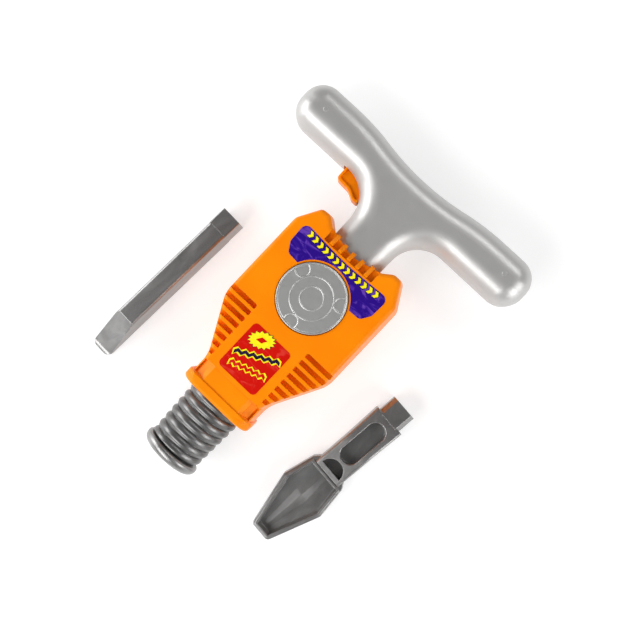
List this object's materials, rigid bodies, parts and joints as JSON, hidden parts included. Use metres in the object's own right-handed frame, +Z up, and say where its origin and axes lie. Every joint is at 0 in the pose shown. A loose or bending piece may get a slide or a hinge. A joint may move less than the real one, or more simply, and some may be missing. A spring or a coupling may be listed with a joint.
{
  "type": "toy jackhammer with bits",
  "caption": "Toy jackhammer lying on its back: T handle with trigger, flat body with round dial and vents, spring-look nose, and a chisel bit and a spade bit beside it.",
  "frame": {"origin": "on the plane that the tool's back and both bits rest on, straight below the dial's centre", "axes": "+Y along the tool towards its handle, +Z up out of its face, +X to the side of the spade bit"},
  "size_m": [0.1945, 0.2439, 0.047],
  "materials": {
    "orange_plastic": "smooth moulded plastic, semi-gloss",
    "silver_paint": "satin metallic paint on plastic",
    "dial_silver": "satin metallic paint on plastic",
    "gunmetal_plastic": "metal-flake plastic with flow marks",
    "blue_label": "printed film, glossy",
    "red_label": "printed film, glossy",
    "screw_steel": "zinc plated",
    "sheet_steel": "nickel plated",
    "cell_wrap": "printed wrap on steel",
    "white_nylon": "moulded nylon",
    "black_plastic": "moulded plastic",
    "board_green": "lacquered board",
    "lead_red": "soft insulation",
    "weight_iron": "sintered",
    "cone_paper": "plastic film"
  },
  "bodies": {
    "housing": {"housing_front": "orange_plastic", "housing_rear": "orange_plastic", "housing_screws": "screw_steel", "battery_door": "orange_plastic", "battery_door_screw": "screw_steel", "battery_cells": "cell_wrap", "battery_springs": "sheet_steel", "battery_contacts": "sheet_steel", "upper_label": "blue_label", "lower_label": "red_label", "gearbox_plate": "white_nylon", "compound_axle": "sheet_steel", "motor_can": "sheet_steel", "motor_end_cap": "black_plastic", "circuit_board": "board_green", "board_parts": "black_plastic", "speaker_frame": "sheet_steel", "speaker_cone": "cone_paper", "wiring": "lead_red", "plunger_spring": "sheet_steel", "handle_front": "silver_paint", "handle_rear": "silver_paint", "handle_screws": "screw_steel", "trigger_pin": "sheet_steel", "trigger_spring": "sheet_steel", "switch_body": "black_plastic"},
    "trigger": {"trigger": "orange_plastic"},
    "button": {"switch_button": "black_plastic"},
    "nose": {"nose_sleeve": "gunmetal_plastic", "nose_ring": "gunmetal_plastic", "bit_socket": "gunmetal_plastic", "plunger_rod": "gunmetal_plastic", "plunger_washer": "sheet_steel", "plunger_screw": "screw_steel"},
    "dial": {"dial_disc": "dial_silver", "dial_gear": "white_nylon"},
    "compound": {"compound_gear": "white_nylon"},
    "rotor": {"motor_shaft": "sheet_steel", "motor_pinion": "white_nylon", "eccentric_weight": "weight_iron"},
    "chisel": {"chisel_bit": "gunmetal_plastic"},
    "spade": {"spade_bit": "gunmetal_plastic"}
  },
  "joints": [
    {"name": "trigger_pull", "type": "hinge", "parent": "housing", "child": "trigger", "pos_m": [-0.0415, 0.0818, 0.023], "axis": [0, 0, 1], "range_deg": [0, 10], "stiffness_Nm_per_rad": 0.2, "springref_deg": -17.19, "deforming": ["trigger_spring"]},
    {"name": "button_press", "type": "slide", "parent": "housing", "child": "button", "axis": [0, 1, 0], "range_m": [0, 0.0021]},
    {"name": "nose_slide", "type": "slide", "parent": "housing", "child": "nose", "axis": [0, 1, 0], "range_m": [0, 0.006], "stiffness_N_per_m": 800, "springref_m": -0.006, "deforming": ["plunger_spring"]},
    {"name": "dial_spin", "type": "hinge", "parent": "housing", "child": "dial", "pos_m": [0, 0, 0.045], "axis": [0, 0, 1], "continuous": true},
    {"name": "compound_spin", "type": "hinge", "parent": "housing", "child": "compound", "pos_m": [0.01441, 0.01387, 0.035], "axis": [0, 0, 1], "continuous": true},
    {"name": "rotor_spin", "type": "hinge", "parent": "housing", "child": "rotor", "pos_m": [0, 0.0225, 0.03], "axis": [0, 0, 1], "continuous": true},
    {"name": "chisel_lift", "type": "slide", "parent": "housing", "child": "chisel", "axis": [0, 0, 1], "range_m": [0, 0.06]},
    {"name": "spade_lift", "type": "slide", "parent": "housing", "child": "spade", "axis": [0, 0, 1], "range_m": [0, 0.06]}
  ],
  "couplings": [
    {"joint": "button_press", "follows": "trigger_pull", "m_per_rad": 0.0115},
    {"joint": "compound_spin", "follows": "rotor_spin", "ratio": -0.3125},
    {"joint": "dial_spin", "follows": "rotor_spin", "ratio": 0.078125}
  ]
}
